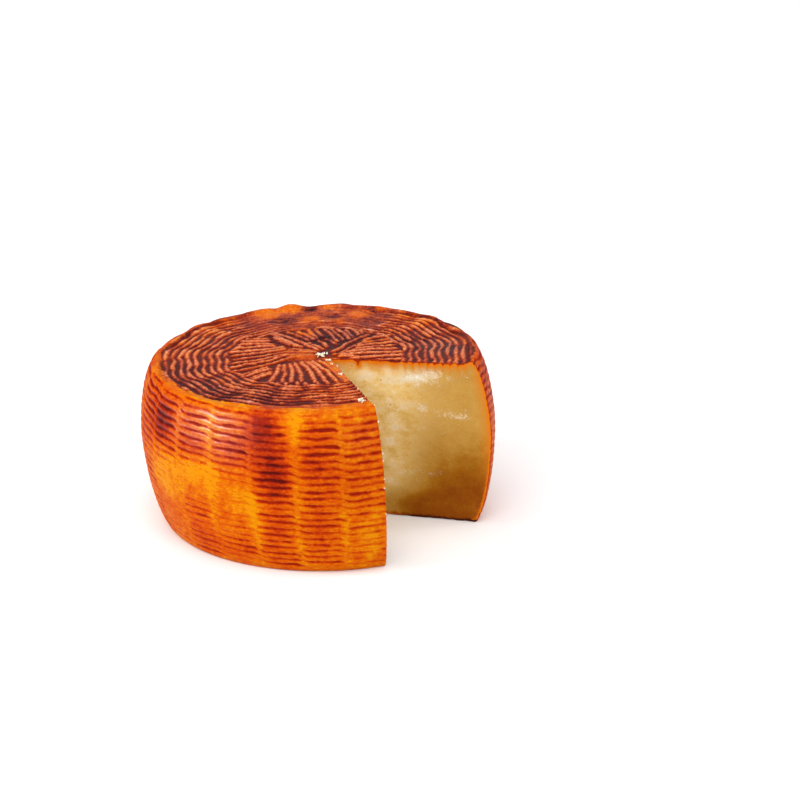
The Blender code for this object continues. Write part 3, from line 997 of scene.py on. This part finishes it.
def rind_material():
    """Pecorino rind, basket-pressed, dyed with annatto and rubbed with oil.

    The dye sits thin on what stands proud and pools dark in the print, and the oil leaves a
    soft wet gloss over a finely wrinkled skin. The palest colour on the top's crests is a
    painted highlight.
    """
    material, tree, shader, place = new_material("annatto_dyed_oiled_rind")
    pressed, dye, soot, orange, flat, relief, oil = attributes(
        tree, "print", "dye", "soot", "orange", "flat", "relief", "oil")
    blotch, mottle, fleck = noises(tree, place, (16, 3, 0.55), (4, 4, 0.6), (1.1, 3, 0.6))
    drawn_out = add(tree, "Mapping", {"Vector": place, "Scale": (1.0, 1.0, 2.6)})
    [streak] = noises(tree, drawn_out, (3.0, 4, 0.65))

    groove = add(tree, "MapRange", (pressed, -0.15 * MM, -0.72 * MM, 0.0, 0.6))
    proud = add(tree, "MapRange", (pressed, 0.0, 0.4 * MM, 0.0, -0.03))
    amount = weighted(
        tree, dye, (blotch, 0.5), (mottle, 0.4), (streak, 0.85), (fleck, 0.3),
        (groove, 1.0), (proud, 1.0), (-1.03, 1.0))
    side = laid_over(
        tree, amount, rgb("#D28200"), (0.0, 0.16, "#CA6400"), (0.16, 0.36, "#C24C00"),
        (0.36, 0.56, "#AE3402"), (0.56, 0.8, "#8E1C04"), (0.84, 1.2, "#560E08"))

    bare = weighted(tree, 1.0, (relief, -1.0))
    # Crests of the top lighten where the dye sits thin; the palest step of each palette paints a
    # highlight along the crests' tops.
    crest = add(tree, "MapRange", (pressed, 0.15 * MM, 1.05 * MM, 0.0, 1.0))
    crest = weighted(
        tree, crest, (bare, 0.8), (mottle, 0.7), (fleck, 1.2), (-0.87, 1.0), (soot, -0.38))
    red_face, black_face, orange_face = (
        laid_over(tree, crest, rgb(palette[0]), *[
            (*step, code) for step, code in zip(CREST_STEPS, palette[1:])])
        for palette in (RED_FACE, BLACK_FACE, ORANGE_FACE))
    darkness = weighted(tree, soot, (blotch, 0.5), (streak, 1.0))
    darkness = add(tree, "MapRange", (darkness, 0.85, 1.5))
    bright = weighted(tree, orange, (blotch, 1.0), (mottle, 1.4))
    bright = add(tree, "MapRange", (bright, 1.15, 1.85))
    face = blended(tree, darkness, red_face, black_face)
    face = blended(tree, bright, face, orange_face)

    ragged = weighted(tree, flat, (mottle, 1.3), (streak, 0.7), (fleck, 0.5))
    ragged = add(tree, "MapRange", (ragged, 1.6, 1.9))
    side = laid_over(tree, ragged, side, (0.0, 0.55, "#AE420A"))
    ragged = add(tree, "MapRange", (ragged, 0.35))

    wrinkle = add(tree, "TexNoise", {
        "Vector": place, "Scale": per_metre(0.9), "Detail": 4.0, "Roughness": 0.65,
        "Distortion": 0.4})
    dry = add(tree, "Math", (groove, -1.5, 1.0), operation="MULTIPLY_ADD", use_clamp=True)
    fill(tree, shader, {
        "Base Color": blended(tree, ragged, side, face),
        "Roughness": add(tree, "MapRange", (mottle, 0.3, 0.7, 0.42, 0.58)),
        "Normal": add(tree, "Bump", {"Height": wrinkle, "Strength": 0.75, "Distance": 0.3 * MM}),
        "Coat Weight": product(tree, oil, dry),
        "Coat Roughness": 0.25, "IOR": 1.46, "Specular IOR Level": 0.03,
        "Subsurface Weight": 0.06, "Subsurface Radius": (1.0, 0.35, 0.1),
        "Subsurface Scale": 1.5 * MM,
    })
    return material


def paste_material():
    """Paste of aged ewe's-milk cheese, cut with a knife.

    It is a firm fine grain, ivory with paler mottles and a few small eyes, and it darkens to
    amber and dyed orange towards the rind. Part of its darkening, low down and towards the
    cut's outer side, is painted shade, and a thin near-black line along the foot is a painted
    contact shadow.
    """
    material, tree, shader, place = new_material("knife_cut_aged_paste")
    depth, amber_and_shade, pale = attributes(tree, "depth", "amber_and_shade", "pale")
    layered = add(tree, "Mapping", {"Vector": place, "Scale": (1.0, 1.0, 1.3)})
    cloud, curd, grain, speck = noises(
        tree, layered, (26, 3, 0.5), (8, 5, 0.66), (1.3, 3, 0.65), (0.6, 2, 0.6))

    # The amber mask is partly real amber near the rind and partly painted shade low down and
    # towards the cut's outer side.
    amber_and_shade = weighted(tree, amber_and_shade, (-0.34, 1.0), (curd, 0.44), (grain, 0.24))
    body = laid_over(
        tree, curd, rgb("#D0A85C"), (0.36, 0.5, "#DEBE7C"), (0.5, 0.64, "#EAD4A4"))
    body = laid_over(tree, amber_and_shade, body, (0.0, 0.55, "#B68C42"), (0.4, 0.9, "#A06808"))
    flecks = weighted(tree, grain, (speck, 0.8))
    body = laid_over(tree, flecks, body, (0.72, 0.6, "#B0803A"), (1.02, 1.3, "#D2AE6C"))
    pale = weighted(tree, pale, (amber_and_shade, -0.7), (curd, 3.0), (grain, 2.0), (speck, 1.2))
    body = laid_over(tree, pale, body, (3.1, 4.0, "#D6C4A2"), (3.9, 4.4, "#E2DECE"))
    # Small eyes are painted as darker spots: painted shade in holes the mesh does not cut.
    eyes = add(tree, "TexVoronoi", {"Vector": layered, "Scale": per_metre(11.0)})
    eyes = weighted(tree, eyes, (cloud, 0.12))
    body = laid_over(tree, eyes, body, (0.135, 0.085, "#C48E40"))

    rim = product(tree, weighted(tree, depth, (grain, 1.6)), -1.0)
    body = laid_over(tree, rim, body, (-10.0, -0.5, "#C67820"))
    # A deeper amber brown: painted shade where the cut is lowest and farthest out, over some real
    # amber.
    body = laid_over(tree, amber_and_shade, body, (0.58, 1.2, "#803C02"))
    body = laid_over(tree, rim, body, (-3.4, -1.6, "#D4700A"), (-1.6, -1.1, "#9C2806"))
    # Painted contact shadow: a near-black line along the foot of the cut.
    body = laid_over(tree, amber_and_shade, body, (1.25, 1.6, "#3A1606"))
    fill(tree, shader, {
        "Base Color": body,
        "Normal": add(tree, "Bump", {
            "Height": weighted(tree, grain, (curd, 2.0)), "Strength": 0.6, "Distance": 0.4 * MM}),
        "Roughness": 0.62, "IOR": 1.45, "Specular IOR Level": 0.06,
        "Subsurface Weight": 0.18, "Subsurface Radius": (1.0, 0.6, 0.25),
        "Subsurface Scale": 4 * MM,
    })
    return material


def crumb_material():
    """Loose dry crumbs of the same paste: whiter, because their broken faces scatter light."""
    material, tree, shader, place = new_material("dry_paste_crumb")
    [grain] = noises(tree, place, (0.7, 3, 0.5))
    fill(tree, shader, {
        "Base Color": laid_over(tree, grain, rgb("#EFE0B4"), (0.4, 0.6, "#FAF4E2")),
        "Normal": add(tree, "Bump", {"Height": grain, "Strength": 0.5, "Distance": 0.2 * MM}),
        "Roughness": 0.7, "Subsurface Weight": 0.3,
        "Subsurface Radius": (1.0, 0.8, 0.5), "Subsurface Scale": 2 * MM,
    })
    return material


def build_studio():
    """A pale floor, soft lights and the camera."""
    scene = bpy.context.scene
    scene.view_settings.view_transform = "Standard"
    bpy.ops.mesh.primitive_plane_add(size=12.0)
    floor = bpy.context.object
    floor.name = "studio_floor"
    paint, tree, shader, _ = new_material("pale_floor_paint")
    fill(tree, shader, {"Base Color": rgb("#F6F6F6"), "Roughness": 0.9})
    floor.data.materials.append(paint)

    world = bpy.data.worlds.new("white_studio")
    world.use_nodes = True
    scene.world = world
    tree = world.node_tree
    height = add(tree, "SeparateXYZ", (add(tree, "TexCoord", out="Generated"),), out="Z")
    dome = add(tree, "MapRange", (height, 0.15, 1.0, HORIZON_STRENGTH, ZENITH_STRENGTH))
    seen = add(tree, "LightPath", out="Is Camera Ray")
    strength = add(tree, "Mix", {0: seen, 2: dome, 3: BACKDROP_STRENGTH})
    fill(tree, tree.nodes["Background"], {"Color": (1, 1, 1, 1), "Strength": strength})

    for name, heading, height, width, power in FAR_LIGHTS:
        lamp = bpy.data.lights.new(name, "SUN")
        lamp.angle = math.radians(width)
        lamp.energy = power
        tilt, turn = math.radians(90 - height), math.radians(heading + 90)
        link(name, lamp).rotation_euler = (tilt, 0.0, turn)

    for name, place, size, power in SOFTBOXES:
        lamp = bpy.data.lights.new(name, "AREA")
        lamp.shape = "RECTANGLE"
        lamp.size, lamp.size_y = size
        lamp.energy = power
        item = link(name, lamp)
        item.location = place
        aim = Vector(SOFTBOX_TARGET) - Vector(place)
        item.rotation_euler = aim.to_track_quat("-Z", "Y").to_euler()

    lens = bpy.data.cameras.new("photo_camera")
    lens.lens = CAMERA_LENS
    camera = link("photo_camera", lens)
    camera.location = CAMERA_PLACE
    camera.rotation_euler = (math.pi / 2 - CAMERA_DIP, 0.0, 0.0)
    scene.camera = camera


grid, outs, headings = rind_grid()
skin = build_skin(grid, outs, headings)
rng = np.random.default_rng(41)
top_level = WHEEL_HEIGHT - PRINT_DEPTH
reeds = draw_lines("reed_lines", [
    *side_grooves(rng),
    *stave_ridges(rng),
    *ring_ridges(rng, top_level, *TOP_RINGS),
    *rosette_ridges(rng, top_level, *TOP_ROSETTE),
    *ring_ridges(rng, FOOT_PRINT_DEPTH, *FOOT_RINGS),
    *rosette_ridges(rng, FOOT_PRINT_DEPTH, *FOOT_ROSETTE),
])
wheel = run_tree(skin, print_tree(), "cut_wheel", {
    "Reed Lines": reeds, "Rind": rind_material(), "Paste": paste_material()})
bpy.data.objects.remove(reeds)
places = crumb_places(grid, rng)
crumbs = run_tree(places, crumb_tree(), "paste_crumbs", {"Paste": crumb_material()})
for piece in (wheel, crumbs):
    finish_mesh(piece.data)
    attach(piece, WHEEL_BODY)
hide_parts(WHEEL_NODE)

build_studio()
